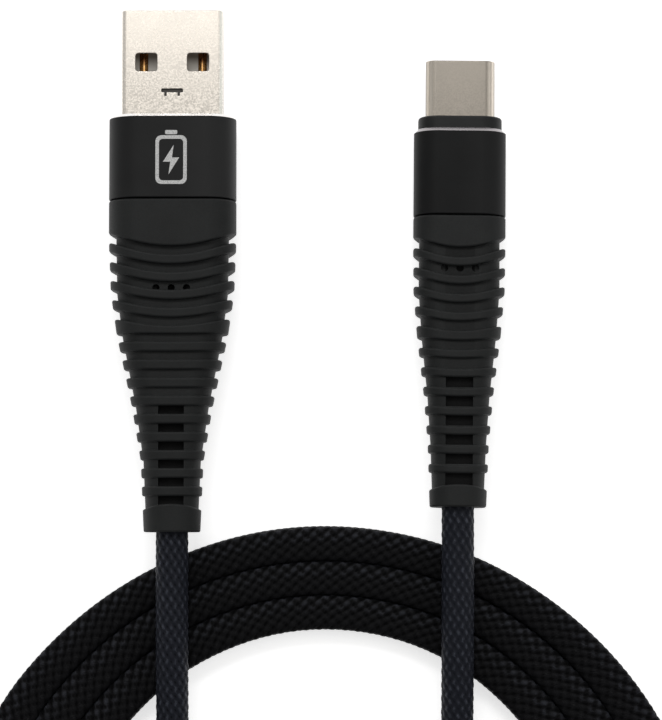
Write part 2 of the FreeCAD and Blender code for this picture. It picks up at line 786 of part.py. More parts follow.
def type_c_inserts():
    """What sits in the insulator: two rows of contacts, the side latches and the ground springs."""
    half_mouth = "dims.c_mouth_height / 2"
    low = f"{half_mouth} - dims.c_contact_proud"
    long = "dims.c_shell_exposed - dims.c_contact_set_back + dims.c_contact_tail"
    rows = {"upper": (-5.5, -2.5, -1.5, -0.5, 0.5, 2.5, 5.5), "lower": (-5.5, -2.5, 1.5, 2.5, 5.5)}
    inserts = {}
    for row, columns in rows.items():
        height = low if row == "upper" else f"0 - ({low}) - dims.c_contact_thick"
        strips = [
            box(f"type_c_contact_{row}_{i}", "dims.c_contact_width", long, "dims.c_contact_thick",
                (f"{column} * dims.c_contact_pitch", "0 - dims.c_contact_tail", height))
            for i, column in enumerate(columns)
        ]
        inserts[f"contacts_{row}"] = group(f"type_c_contacts_{row}_shape", *strips)
    latches = [
        box(f"type_c_latch_{side}", "dims.c_latch_width",
            "dims.c_shell_exposed - dims.c_latch_set_back + dims.c_contact_tail", "dims.c_latch_height",
            (f"{sign}dims.c_mouth_width / 2", "0 - dims.c_contact_tail", "0 - dims.c_latch_height / 2"))
        for side, sign in (("left", "0 - "), ("right", ""))
    ]
    inserts["side_latches"] = group("type_c_side_latches_shape", *latches)
    inner = "dims.c_shell_height / 2 - dims.c_shell_wall"
    spring_y = "dims.c_shell_exposed - dims.c_spring_set_back - dims.c_spring_length"
    for side, z in (("upper", f"{inner} - dims.c_spring_thick"), ("lower", f"0 - ({inner})")):
        inserts[f"ground_spring_{side}"] = box(
            f"type_c_ground_spring_{side}_shape", "dims.c_spring_width", "dims.c_spring_length",
            "dims.c_spring_thick", ("0", spring_y, z))
    for name, piece in inserts.items():
        place("type_c_" + name, piece, "c")
    return inserts


def type_c_insulator(inserts):
    """The plastic lining of the shell, with the mouth that a socket's tongue goes into."""
    front = "dims.c_shell_exposed - dims.c_insulator_set_back"
    blank = prism("type_c_insulator_outside", "XZ", *type_c_bore(), f"{front} + dims.c_insulator_end",
                  ("0", "0", f"0 - ({front})"), "dims.c_shell_corner - dims.c_shell_wall")
    mouth = prism("type_c_insulator_mouth", "XZ", "dims.c_mouth_width", "dims.c_mouth_height",
                  "dims.c_mouth_depth + 1", ("0", "0", f"0 - ({front}) - 1"))
    place("type_c_insulator", cut("type_c_insulator_shape", blank, mouth, *inserts.values()), "c")


def type_c_board():
    """The small circuit board behind the contacts, and the resistor on it."""
    board = box("type_c_board_blank", "dims.c_board_width", "dims.c_board_end - dims.c_board_start",
                "dims.c_board_thick", ("0", "0 - dims.c_board_end", "0 - dims.c_board_thick / 2"))
    resistor = box("type_c_resistor_shape", "dims.c_resistor_length", "dims.c_resistor_width",
                   "dims.c_resistor_height",
                   ("0", "0 - dims.c_board_start - dims.c_resistor_from_board", "dims.c_board_thick / 2"))
    place("type_c_board", board, "c")
    place("type_c_resistor", resistor, "c")
    return board, resistor


def type_c_plug():
    datum("c")
    type_c_shell()
    inserts = type_c_inserts()
    type_c_insulator(inserts)
    board, resistor = type_c_board()
    top = size("c_board_thick") / 2
    pads = (-size("c_outer_pad"), -size("c_inner_pad"), size("c_inner_pad"), size("c_outer_pad"))
    end = size("c_board_end")
    joints = solder("c", [Vector(x, -end + 0.75, top) for x in pads], (0.45, 0.6, 0.6))
    ends = [Vector(x, -end + 0.15, top + size("wire_diameter") / 2) for x in pads]
    layers = cord_end("c")
    insulator_back = prism("type_c_insulator_back", "XZ", *type_c_bore(), "1.3",
                           ("0", "0", "dims.c_shell_buried"), "dims.c_shell_corner - dims.c_shell_wall")
    held = [inserts[name] for name in ("contacts_upper", "contacts_lower", "side_latches")]
    mould("c", [insulator_back, *held, board, resistor, joints, *wires("c", ends), *layers])
    sleeve("c")
    boot("c")


# ---------------------------------------------------------------------------- cord

# The cord's two leads, each from its plug to where it joins the coil. They pass over the coil's
# near side, and inside it they come down to the table. The lead to the type-C plug leaves the
# outermost turn over the other turns, and passes over the other lead.
LEAD_A = (
    (-16.0, -45.0, 6.4),
    (-16.0, -66.5, 1.95),
    (-16.0, -85.4, 1.95),
    (-10.1, -96.5, 1.95),
    (0.6, -103.4, 1.95),
    (13.3, -104.3, 1.95),
    (24.9, -99.0, 1.95),
    (32.2, -89.1, 1.95),
)
LEAD_C = (
    (17.7, -42.4, 6.55),
    (17.7, -63.8, 1.95),
    (17.7, -81.1, 1.95),
    (14.4, -92.6, 4.2),
    (7.5, -101.5, 6.3),
    (-2.8, -106.4, 6.45),
    (-14.0, -107.6, 6.45),
    (-25.2, -104.6, 6.1),
    (-34.4, -97.0, 3.0),
    (-39.6, -86.0, 1.95),
)


def lead(plug, points):
    """The cord's tube from the end of the plug's boot, along its axis there, to the coil."""
    plug_place = doc.getObject(f"type_{plug}_datum").Placement
    boot_end = plug_place.multVec(Vector(0, -size(f"{plug}_boot_length"), 0))
    route = [boot_end] + [Vector(*point) for point in points]
    made, radii = tube(f"cord_lead_{plug}_shape", route, "cord_diameter")
    place(f"cord_lead_{plug}", made)
    print(f"lead {plug}: exit {tuple(round(v, 2) for v in boot_end)}, radii", [round(r, 1) for r in radii])
    return made


def coil(leads):
    """The outer shape of the coil's three turns: a flat ring with round edges."""
    middle = "(dims.coil_outer_radius + dims.coil_inner_radius) / 2"
    body = doc.addObject("PartDesign::Body", "coil_ring")
    sketch = body.newObject("Sketcher::SketchObject", "coil_section")
    support = next(f for f in body.Origin.OriginFeatures if f.Role == "XZ_Plane")
    sketch.AttachmentSupport = [(support, "")]
    sketch.MapMode = "FlatFace"
    corners = [Vector(32, 0, 0), Vector(44, 0, 0), Vector(44, 4, 0), Vector(32, 4, 0)]
    for i in range(4):
        sketch.addGeometry(Part.LineSegment(corners[i], corners[(i + 1) % 4]))
    for i in range(4):
        sketch.addConstraint(Sketcher.Constraint("Coincident", i, 2, (i + 1) % 4, 1))
    for i, direction in enumerate(("Horizontal", "Vertical", "Horizontal", "Vertical")):
        sketch.addConstraint(Sketcher.Constraint(direction, i))
    sketch.addConstraint(Sketcher.Constraint("PointOnObject", 0, 1, -1))
    inner = sketch.addConstraint(Sketcher.Constraint("DistanceX", -1, 1, 0, 1, 32.0))
    outer = sketch.addConstraint(Sketcher.Constraint("DistanceX", -1, 1, 0, 2, 44.0))
    high = sketch.addConstraint(Sketcher.Constraint("DistanceY", 1, 1, 1, 2, 4.0))
    for index, name in ((inner, "inner"), (outer, "outer"), (high, "high")):
        sketch.renameConstraint(index, name)
    bind(sketch, {
        "Constraints.inner": "dims.coil_inner_radius",
        "Constraints.outer": "dims.coil_outer_radius",
        "Constraints.high": "dims.cord_diameter",
    })
    turned = body.newObject("PartDesign::Revolution", "coil_revolution")
    turned.Profile = sketch
    turned.ReferenceAxis = (sketch, ["V_Axis"])
    turned.Angle = 360
    doc.recompute()
    round_edges(body, turned, "dims.cord_diameter / 2 - 0.05", lambda edge: edge.Length > 20)
    bind(body, {"Placement.Base.x": "dims.coil_x", "Placement.Base.y": "dims.coil_y"})
    place("cord_coil", cut("cord_coil_shape", body, *leads))


# ---------------------------------------------------------------------------- make, check and write

type_a_plug()
type_c_plug()
coil([lead("a", LEAD_A), lead("c", LEAD_C)])
doc.recompute()

for item in doc.Objects:
    if "Invalid" in item.State or "Error" in item.State:
        raise RuntimeError(f"{item.Name} did not compute: {item.State}")
for name, node in nodes.items():
    if node.Shape.isNull() or not node.Shape.isValid() or not node.Shape.Solids:
        raise RuntimeError(f"{name} has no valid solid")
    node.Shape.exportStep(f"parts/{name}.step")
print(len(nodes), "nodes written")
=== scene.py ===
"""Charging cable: a braided cord, lying in a coil, between a type-A and a type-C plug.

Everything is in metres, in the frame of the CAD: the table is z = 0 and both plugs point along +Y.
"""

import json
import math

import bmesh
import bpy
import numpy as np
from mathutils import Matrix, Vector


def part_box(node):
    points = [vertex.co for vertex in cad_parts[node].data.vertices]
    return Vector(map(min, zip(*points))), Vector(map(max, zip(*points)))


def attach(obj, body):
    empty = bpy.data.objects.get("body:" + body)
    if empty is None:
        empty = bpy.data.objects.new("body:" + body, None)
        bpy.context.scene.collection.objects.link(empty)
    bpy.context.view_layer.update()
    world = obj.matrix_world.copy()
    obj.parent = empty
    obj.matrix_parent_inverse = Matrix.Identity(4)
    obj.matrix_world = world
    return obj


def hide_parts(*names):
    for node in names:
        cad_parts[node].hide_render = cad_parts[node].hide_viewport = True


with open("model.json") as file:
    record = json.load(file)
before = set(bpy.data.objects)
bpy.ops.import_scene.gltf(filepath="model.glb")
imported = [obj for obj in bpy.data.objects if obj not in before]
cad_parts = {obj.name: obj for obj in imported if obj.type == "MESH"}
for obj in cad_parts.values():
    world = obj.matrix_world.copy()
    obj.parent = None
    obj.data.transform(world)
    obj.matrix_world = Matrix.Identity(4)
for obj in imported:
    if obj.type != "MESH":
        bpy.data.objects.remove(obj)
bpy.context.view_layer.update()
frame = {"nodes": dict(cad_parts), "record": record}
nodes = frame["nodes"]
MM = 0.001


def add_object(name, data):
    made = bpy.data.objects.new(name, data)
    bpy.context.scene.collection.objects.link(made)
    return made


# ---------------------------------------------------------------- camera

VIEW_CENTRE = Vector((2.75, -10.6, 4.0)) * MM
VIEW_DISTANCE = 330 * MM
VIEW_HEIGHT = 85.7 * MM  # what the picture's height takes in, at the middle of the view
VIEW_LEAN = math.radians(2.0)  # the camera stands a little towards the cord's end
SENSOR = 36.0
CLIP_NEAR, CLIP_FAR = 0.01, 20.0

camera = add_object("camera", bpy.data.cameras.new("camera"))
camera.data.sensor_width = SENSOR
camera.data.lens = SENSOR * VIEW_DISTANCE / VIEW_HEIGHT
camera.data.clip_start, camera.data.clip_end = CLIP_NEAR, CLIP_FAR
camera.location = VIEW_CENTRE + VIEW_DISTANCE * Vector(
    (0, -math.sin(VIEW_LEAN), math.cos(VIEW_LEAN))
)
camera.rotation_euler = (VIEW_LEAN, 0, 0)
bpy.context.scene.camera = camera

# ---------------------------------------------------------------- the cord's line

CORD_DIAMETER = 3.9 * MM
CORD_RADIUS = CORD_DIAMETER / 2
EXIT_A = (-0.01602, -0.03102, 0.00583)
EXIT_C = (0.01774, -0.0281, 0.00572)
INSIDE = 1.2 * MM  # how far the cord goes on inside each boot's bore

LEAD_A = (
    (-0.0160, -0.0450, 0.0064),
    (-0.0160, -0.0665, 0.00195),
    (-0.0160, -0.0854, 0.00195),
    (-0.0101, -0.0965, 0.00195),
    (0.0006, -0.1034, 0.00195),
    (0.0133, -0.1043, 0.00195),
    (0.0249, -0.0990, 0.00195),
)
LEAD_C = (
    (0.0177, -0.0424, 0.00655),
    (0.0177, -0.0638, 0.00195),
    (0.0177, -0.08110, 0.00195),
    (0.0144, -0.0926, 0.0042),
    (0.0075, -0.1015, 0.0063),
    (-0.0028, -0.1064, 0.00645),
    (-0.0140, -0.1076, 0.00645),
    (-0.0252, -0.1046, 0.0061),
    (-0.0344, -0.0970, 0.0030),
    (-0.0396, -0.0860, 0.00195),
)

SPLINE_ORDER = 3  # quadratic
SPLINE_STEPS = 48  # points on the line for each of its control points

COIL_CENTRE = (0.0028, -0.07463, 0.00195)
COIL_TOP = 90.0  # degrees: the turns are counted from here
COIL_START, COIL_END = -36.6, 915.0  # degrees, counter-clockwise from +X
COIL_STEP = 30.0  # degrees between control points
COIL_PULL = 0.9662  # a quadratic spline runs this share of its control points' radius
COIL_RADIUS = 34.09 * MM  # of the inner turn at the coil's top
TURN_PITCH = 4.01 * MM
INNER_FAN = 0.90 * MM  # how much wider the inner turn is on the coil's sides, where it spreads
RIGHT_FAN, LEFT_FAN = 1.90 * MM, 1.08 * MM  # the same for the outer turn, on each side
FAN_STOP = 0.55  # the outer turn stops spreading at this share


def fans(cosine):
    """The extra width of the inner and of the outer turn, from the place's cosine on the coil."""
    outer = np.where(cosine > 0, RIGHT_FAN, LEFT_FAN) * np.minimum(cosine**6, FAN_STOP)
    return INNER_FAN * cosine**2, outer


def coil_point(angle):
    """A control point of the coil, which widens by one pitch each turn."""
    turns = (angle - COIL_TOP) / 360.0
    inner, outer = fans(math.cos(math.radians(angle)))
    fan = float(inner * (turns - 1) + (outer - inner) * (turns**2 - 1) / 4)
    radius = (COIL_RADIUS + TURN_PITCH * turns + fan) / COIL_PULL
    return (
        COIL_CENTRE[0] + radius * math.cos(math.radians(angle)),
        COIL_CENTRE[1] + radius * math.sin(math.radians(angle)),
        COIL_CENTRE[2],
    )


def behind(exit_point):
    """Where the cord ends, inside the boot it goes into at this point."""
    return (exit_point[0], exit_point[1] + INSIDE, exit_point[2])


coil_steps = int((COIL_END - COIL_START - COIL_STEP) // COIL_STEP) + 1
coil_points = [
    coil_point(COIL_START + COIL_STEP / 2 + COIL_STEP * i) for i in range(coil_steps)
]
route = [behind(EXIT_A), *LEAD_A, *coil_points, *reversed(LEAD_C), behind(EXIT_C)]

route_curve = bpy.data.curves.new("cord_route", "CURVE")
route_curve.dimensions = "3D"
spline = route_curve.splines.new("NURBS")
spline.points.add(len(route) - 1)
for point, place in zip(spline.points, route):
    point.co = (*place, 1.0)
spline.order_u = SPLINE_ORDER
spline.use_endpoint_u = True
spline.resolution_u = SPLINE_STEPS
route_object = bpy.data.objects.new("cord_route", route_curve)
route_mesh = bpy.data.meshes.new_from_object(route_object)
line = np.array([v.co for v in route_mesh.vertices], float)
bpy.data.meshes.remove(route_mesh)
bpy.data.objects.remove(route_object)
bpy.data.curves.remove(route_curve)

# ---------------------------------------------------------------- the braided tube

CARRIERS = 12  # yarn bundles that wind each way
BRAID_PITCH = 1.62 * MM  # from one crossing to the next in line with the cord
AROUND = 48  # the tube's points round the cord
ROWS_PER_PITCH = 6
CELL_EDGE = 1e-6  # a point on the edge of two cells counts as in the upper one
WAVE_HEIGHT = 0.15 * MM  # a bundle's rise as it goes over another
CROWN_HEIGHT = 0.07 * MM  # a bundle's rounding across its width
LIE_FLAT = 1.2 * MM  # the cord spreads out over this last bit of its way down to the table
LEAD_ROUND = 60 * MM  # each lead stays round at least this far from its end
LEAD_CHANGE = 30 * MM  # and takes on the coil's section over this length
SQUARED = 4.0  # how far the pressed cord's section goes from an ellipse, power 2, to a squarer one

along = np.concatenate([[0], np.cumsum(np.linalg.norm(np.diff(line, axis=0), axis=1))])
cord_length = float(along[-1])
rows = int(round(cord_length / BRAID_PITCH * ROWS_PER_PITCH))
stations = np.linspace(0, cord_length, rows + 1)
centre = np.stack([np.interp(stations, along, line[:, k]) for k in range(3)], axis=1)
tangent = np.gradient(centre, axis=0)
tangent /= np.linalg.norm(tangent, axis=1, keepdims=True)
side = np.cross(tangent, (0.0, 0.0, 1.0))
side /= np.linalg.norm(side, axis=1, keepdims=True)
up = np.cross(side, tangent)

turn = np.arange(AROUND) / AROUND
weave_u = CARRIERS * turn[None, :]
weave_v = (stations / BRAID_PITCH)[:, None]
right_hand, left_hand = weave_u + weave_v, weave_u - weave_v
right_cell, left_cell = np.floor(right_hand + CELL_EDGE), np.floor(left_hand + CELL_EDGE)
right_in, left_in = right_hand - right_cell, left_hand - left_cell
over = (right_cell + left_cell) % 2 < 0.5
lengthwise = np.where(over, right_in, left_in)
across = np.where(over, left_in, right_in)
wave = np.sin(math.pi * lengthwise)
crown = 1.0 - (2.0 * across - 1.0) ** 2
height = WAVE_HEIGHT * wave + CROWN_HEIGHT * crown
radius = CORD_RADIUS - WAVE_HEIGHT - CROWN_HEIGHT + height

# In the coil the turns press on each other, and the cord is as wide as the turns are apart.
on_table = np.clip((CORD_RADIUS + LIE_FLAT - centre[:, 2]) / LIE_FLAT, 0, 1)
from_ends = np.minimum(stations, cord_length - stations)
in_coil = on_table * np.clip((from_ends - LEAD_ROUND) / LEAD_CHANGE, 0, 1)
offset_x, offset_y = centre[:, 0] - COIL_CENTRE[0], centre[:, 1] - COIL_CENTRE[1]
# The inner lead has gone once round the coil's centre before the coil starts: that turn comes off.
angles = np.unwrap(np.arctan2(offset_y, offset_x))
turn_number = (angles - math.radians(COIL_TOP)) / (2 * math.pi) - 1
inner_fan, outer_fan = fans(offset_x / np.hypot(offset_x, offset_y))
turn_width = TURN_PITCH + inner_fan + (outer_fan - inner_fan) * np.clip(turn_number, 0, 2) / 2
usual_width = CORD_DIAMETER - WAVE_HEIGHT - CROWN_HEIGHT
widened = 1 + in_coil * (turn_width / usual_width - 1)
across_part, up_part = np.cos(2 * math.pi * turn), np.sin(2 * math.pi * turn)
power = (2 + SQUARED * in_coil)[:, None]
squarer = (np.abs(across_part) ** power + np.abs(up_part) ** power) ** (-1 / power)
ring = (
    (squarer * widened[:, None] * across_part)[:, :, None] * side[:, None, :]
    + (squarer * up_part)[:, :, None] * up[:, None, :]
)
skin = centre[:, None, :] + radius[:, :, None] * ring


def tube_mesh(name, grid, uv_u, uv_v):
    """A closed tube from a grid of rows of points, with the weave's place in its UV map."""
    count_rows, count_around = grid.shape[:2]
    points = np.concatenate([grid.reshape(-1, 3), grid[0].mean(0)[None], grid[-1].mean(0)[None]])
    first = np.arange(count_rows - 1)[:, None] * count_around
    here = first + np.arange(count_around)[None, :]
    beside = first + (np.arange(count_around)[None, :] + 1) % count_around
    quads = np.stack([here, beside, beside + count_around, here + count_around], axis=-1)
    quads = quads.reshape(-1, 4)
    start_cap, end_cap = len(points) - 2, len(points) - 1
    ends = []
    for j in range(count_around):
        k = (j + 1) % count_around
        last = (count_rows - 1) * count_around
        ends.append((k, j, start_cap))
        ends.append((last + j, last + k, end_cap))
    mesh = bpy.data.meshes.new(name)
    mesh.from_pydata(points.tolist(), [], quads.tolist() + ends)
    mesh.polygons.foreach_set("use_smooth", [True] * len(mesh.polygons))
    layer = mesh.uv_layers.new(name="weave")
    row = np.repeat(np.arange(count_rows - 1), count_around)
    column = np.tile(np.arange(count_around), count_rows - 1)
    u = np.stack([column, column + 1, column + 1, column], axis=-1) * uv_u
    v = np.stack([row, row, row + 1, row + 1], axis=-1) * uv_v
    flat = np.zeros((len(mesh.loops), 2), np.float32)
    flat[: quads.size, 0], flat[: quads.size, 1] = u.reshape(-1), v.reshape(-1)
    layer.data.foreach_set("uv", flat.reshape(-1))
    return mesh


cord_mesh = tube_mesh("cord", skin, CARRIERS / AROUND, cord_length / BRAID_PITCH / rows)


def point_values(name, values, at_caps):
    """A number for each of the cord's points, and for the middles of its two ends."""
    layer = cord_mesh.attributes.new(name, "FLOAT", "POINT")
    numbers = np.append(values.reshape(-1), [at_caps, at_caps])
    layer.data.foreach_set("value", numbers.astype(np.float32))


point_values("relief", height / (WAVE_HEIGHT + CROWN_HEIGHT), 0.5)
point_values("coiled", np.repeat(in_coil, AROUND), 0.0)
cord = add_object("cord", cord_mesh)
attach(cord, "root")
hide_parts("cord_lead_a", "cord_coil", "cord_lead_c")

# ---------------------------------------------------------------- materials

NOISE_LOW, NOISE_HIGH = 0.3, 0.7  # nearly all of a noise's values lie between these
BEVEL_SAMPLES = 4
EDGE_NONE, EDGE_FULL = 0.995, 0.85  # cosines of a bevelled normal's lean: no edge, a full edge
MIX_SHARE, MIX_FIRST, MIX_SECOND, MIX_RESULT = 0, 6, 7, 2  # a mix node's sockets for colours


def times(colour, share):
    """A colour made lighter or darker, and kept within 1."""
    return tuple(min(1.0, part * share) for part in colour)


def plus(colour, amount):
    return tuple(part + amount for part in colour)


class Graph:
    """A material's nodes, made by short calls. Noise scales are per metre."""

    def __init__(self, name, colour, roughness, metallic=0.0, specular=0.5):
        self.material = bpy.data.materials.new(name)
        self.material.use_nodes = True
        self.tree = self.material.node_tree
        self.shader = self.tree.nodes["Principled BSDF"]
        self.set("Base Color", (*colour, 1.0))
        self.set("Roughness", roughness)
        self.set("Metallic", metallic)
        self.set("Specular IOR Level", specular)
        self.normal = None

    def set(self, socket, value):
        if isinstance(value, bpy.types.NodeSocket):
            self.tree.links.new(value, self.shader.inputs[socket])
        else:
            self.shader.inputs[socket].default_value = value

    def node(self, kind, **settings):
        made = self.tree.nodes.new(kind)
        for key, value in settings.items():
            setattr(made, key, value)
        return made

    def feed(self, node, inputs):
        for key, value in inputs.items():
            if isinstance(value, bpy.types.NodeSocket):
                self.tree.links.new(value, node.inputs[key])
            else:
                node.inputs[key].default_value = value
        return node

    def place(self):
        return self.node("ShaderNodeTexCoord").outputs["Object"]

    def scaled(self, factors):
        mapping = self.node("ShaderNodeMapping", vector_type="POINT")
        self.feed(mapping, {"Vector": self.place(), "Scale": factors})
        return mapping.outputs["Vector"]

    def noise(self, scale, detail=3.0, rough=0.55, vector=None):
        """Noise with this scale at each place, or at a vector's."""
        made = self.node("ShaderNodeTexNoise")
        self.feed(made, {"Vector": vector or self.place(), "Scale": scale})
        self.feed(made, {"Detail": detail, "Roughness": rough})
        return made.outputs["Fac"]

    def math(self, operation, first, second=0.0):
        made = self.node("ShaderNodeMath", operation=operation)
        self.feed(made, {0: first, 1: second})
        return made.outputs[0]

    def between(self, value, low, high, to_low=0.0, to_high=1.0):
        """A value's place between low and high, as a number from to_low to to_high."""
        made = self.node("ShaderNodeMapRange", clamp=True)
        self.feed(made, {"Value": value, "From Min": low, "From Max": high})
        self.feed(made, {"To Min": to_low, "To Max": to_high})
        return made.outputs["Result"]

    def spread(self, noise, to_low=0.0, to_high=1.0):
        """A noise stretched over the whole way from to_low to to_high."""
        return self.between(noise, NOISE_LOW, NOISE_HIGH, to_low, to_high)

    def along(self, vector, direction):
        made = self.node("ShaderNodeVectorMath", operation="DOT_PRODUCT")
        return self.feed(made, {0: vector, 1: tuple(direction)}).outputs["Value"]

    def offset(self, direction, origin):
        """How far a place lies from an origin, along a direction."""
        return self.math("SUBTRACT", self.along(self.place(), direction), origin.dot(direction))

    def facing(self, which, direction):
        """How far the surface's "Normal" or "True Normal" turns to a direction."""
        return self.along(self.node("ShaderNodeNewGeometry").outputs[which], direction)

    def mix(self, share, first, second):
        made = self.node("ShaderNodeMix", data_type="RGBA")
        colours = [c if isinstance(c, bpy.types.NodeSocket) else (*c, 1.0) for c in (first, second)]
        self.feed(made, {MIX_SHARE: share, MIX_FIRST: colours[0], MIX_SECOND: colours[1]})
        return made.outputs[MIX_RESULT]

    def bump(self, height, strength, distance):
        made = self.node("ShaderNodeBump")
        inputs = {"Height": height, "Strength": strength, "Distance": distance}
        if self.normal is not None:
            inputs["Normal"] = self.normal
        self.normal = self.feed(made, inputs).outputs["Normal"]
        self.set("Normal", self.normal)

    def bevel(self, radius):
        made = self.node("ShaderNodeBevel", samples=BEVEL_SAMPLES)
        return self.feed(made, {"Radius": radius}).outputs["Normal"]

    def rounded(self, radius):
        """Soft edges: the normal turns over this radius where two faces meet."""
        self.normal = self.bevel(radius)
        self.set("Normal", self.normal)

    def edges(self, radius):
        """1 close to an edge and 0 away from one."""
        flat = self.node("ShaderNodeNewGeometry").outputs["Normal"]
        dot = self.node("ShaderNodeVectorMath", operation="DOT_PRODUCT")
        self.feed(dot, {0: self.bevel(radius), 1: flat})
        return self.between(dot.outputs["Value"], EDGE_NONE, EDGE_FULL)


def mount_line(name):
    """A mount's place and its axis."""
    mount = next(m for m in frame["record"]["mounts"] if m["name"] == name)
    return Vector(mount["pos_m"]), Vector(mount["axis"]).normalized()


class PlugFrame:
    """A plug's own axes: forward to its tip, right, and up out of its flat top."""

    def __init__(self, plug):
        self.stop, self.forward = mount_line(plug + "_stop")
        self.right = self.forward.cross(Vector((0, 0, 1))).normalized()
        self.up = self.right.cross(self.forward)
        self.tip = mount_line(plug + "_plug")[0]  # on the plug's axis
        corners = [self.of(v.co) for v in nodes[plug + "_sleeve"].data.vertices]
        self.front = max(corner[1] for corner in corners)
        self.top = max(corner[2] for corner in corners)
        self.sleeve_front = self.at(0, self.front, 0)

    def of(self, point):
        """A point's x, y and z in these axes, from the stop mount."""
        offset = point - self.stop
        return offset.dot(self.right), offset.dot(self.forward), offset.dot(self.up)

    def at(self, x, y, z):
        return self.stop + x * self.right + y * self.forward + z * self.up


plug_frames = {plug: PlugFrame(plug) for plug in ("type_a", "type_c")}
CHAMFER_REACH = 0.6 * MM  # the cut edge lies this close to the sleeve's front
CHAMFER_SLOPES = 0.35, 0.95  # its faces turn forward by more than the first, less than the second
SLEEVE_SIDE_LIGHT = -0.2 * MM, 6.5 * MM  # right of the middle: a painted light makes the sleeve paler from here to here
GRAIN_SHADE_SPAN = 0.15, 0.85  # shares of a shell's length between which its grain and a painted shade fade out towards the tip
TIP_GRAIN_SHARE = 0.25  # the share of the grain that is left at the tip
ROLL_SLOPES = 0.15, 0.65, 0.72, 0.97  # the turn at which a rolled side's painted highlight starts, is full,
ROLL_LEFT = 0.1  # starts to fade, and is down to this share
SLOT_FLOOR = 2.15 * MM  # a boot's slots get a painted shade up to this far above and below the plug's axis
SLOT_TOP = 2.7 * MM  # and no painted shade from here
SLOT_REACH = 1.75 * MM  # from the axis to just outside a slot's side
CONTACT_PINS = 3.5 * MM, 1.0 * MM  # the contacts' distances from the type-A plug's axis
CONTACT_CROWN = 0.35 * MM  # the radius that rounds a contact's face

# How far ahead of the sleeve's front the painted shadows inside the type-A shell start and finish.
TONGUE_LIT = 3.5 * MM, 4.6 * MM
TONGUE_FRONT_SHADOW = 7.4 * MM, 6.6 * MM
GOLD_FRONT_SHADOW = 7.0 * MM, 6.2 * MM


def black_aluminium(plug, bare, black, specular):
    """Anodised sleeve: a fine blasted grain, a painted light that makes its right side paler, and a
    chamfer cut to bare metal round its front.
    """
    axes = plug_frames[plug]
    g = Graph("black_aluminium_" + plug, black, 0.42, specular=specular)
    g.rounded(0.10 * MM)
    fine = g.noise(9000, detail=3.0, rough=0.6)
    cloud = g.noise(260, detail=2.0, rough=0.5)
    dye_and_side_light = g.mix(g.spread(cloud), times(black, 0.86), times(black, 1.14))
    # painted light: the sleeve gets paler towards its right side, as if lit from there
    side_lit = g.between(g.offset(axes.right, axes.stop), *SLEEVE_SIDE_LIGHT)
    dye_and_side_light = g.mix(side_lit, dye_and_side_light, plus(black, 0.009))
    light_edges = g.mix(g.edges(0.08 * MM), dye_and_side_light, (0.020, 0.021, 0.022))
    slope = g.facing("True Normal", axes.forward)
    above = g.math("GREATER_THAN", slope, CHAMFER_SLOPES[0])
    below = g.math("LESS_THAN", slope, CHAMFER_SLOPES[1])
    ahead = g.offset(axes.forward, axes.sleeve_front)
    at_front = g.math("GREATER_THAN", ahead, -CHAMFER_REACH)
    cut = g.math("MULTIPLY", g.math("MULTIPLY", above, below), at_front)
    lines = g.noise(1.0, detail=2.0, rough=0.5, vector=g.scaled((900, 30000, 900)))
    metal = g.mix(g.between(lines, 0.35, 0.65), times(bare, 0.88), bare)
    g.set("Base Color", g.mix(cut, light_edges, metal))
    g.set("Metallic", cut)
    rough = g.spread(fine, 0.46, 0.58)
    g.set("Roughness", g.math("SUBTRACT", rough, g.math("MULTIPLY", cut, 0.32)))
    g.bump(fine, strength=0.12, distance=0.01 * MM)
    return g.material


def satin_nickel(plug, colour, roughness, grain, left, right):
    """Plated steel: a sandy grain that fades towards the tip, with a painted shade that darkens it
    towards the sleeve, and rolled sides made brighter by a painted highlight.

    left and right say how much brighter than the flat each side's painted highlight is.
    """
    axes = plug_frames[plug]
    g = Graph("nickel_" + plug, colour, roughness, metallic=1.0)
    g.rounded(0.12 * MM)
    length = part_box(plug + "_shell")[1][1] - axes.stop[1]
    ahead = g.offset(axes.forward, axes.stop)
    to_tip = g.between(ahead, *(share * length for share in GRAIN_SHADE_SPAN))
    fine = g.noise(4600, detail=2.0, rough=0.6)
    stains = g.noise(420, detail=2.0, rough=0.5)
    grains = g.between(fine, 0.40, 0.60)
    # grain and painted shade: towards the sleeve the grain is stronger and the shell darker, as if
    # in shade
    shaded_grainy_end = g.mix(grains, times(colour, 1 - grain), colour)
    faint_grain_end = g.mix(grains, times(colour, 1 - TIP_GRAIN_SHARE * grain), colour)
    flat = g.mix(to_tip, shaded_grainy_end, faint_grain_end)
    stained = g.mix(g.between(stains, 0.62, 0.40, 0.0, 0.25), flat, times(colour, 0.82))
    # painted highlight: the rolled sides are brightened, the right one more, as if they reflect
    # lights beside the plug
    sideways = g.facing("Normal", axes.right)
    steep = g.math("ABSOLUTE", sideways)
    start, full, last, end = ROLL_SLOPES
    turning = g.between(steep, start, full)
    side_highlight = g.math("MULTIPLY", turning, g.between(steep, end, last, ROLL_LEFT, 1.0))
    to_right = g.math("GREATER_THAN", sideways, 0.0)
    side = g.mix(to_right, times(colour, left), times(colour, right))
    g.set("Base Color", g.mix(side_highlight, stained, side))
    g.set("Roughness", g.spread(fine, roughness + 0.08, roughness - 0.06))
    g.bump(fine, strength=0.25, distance=0.012 * MM)
    return g.material


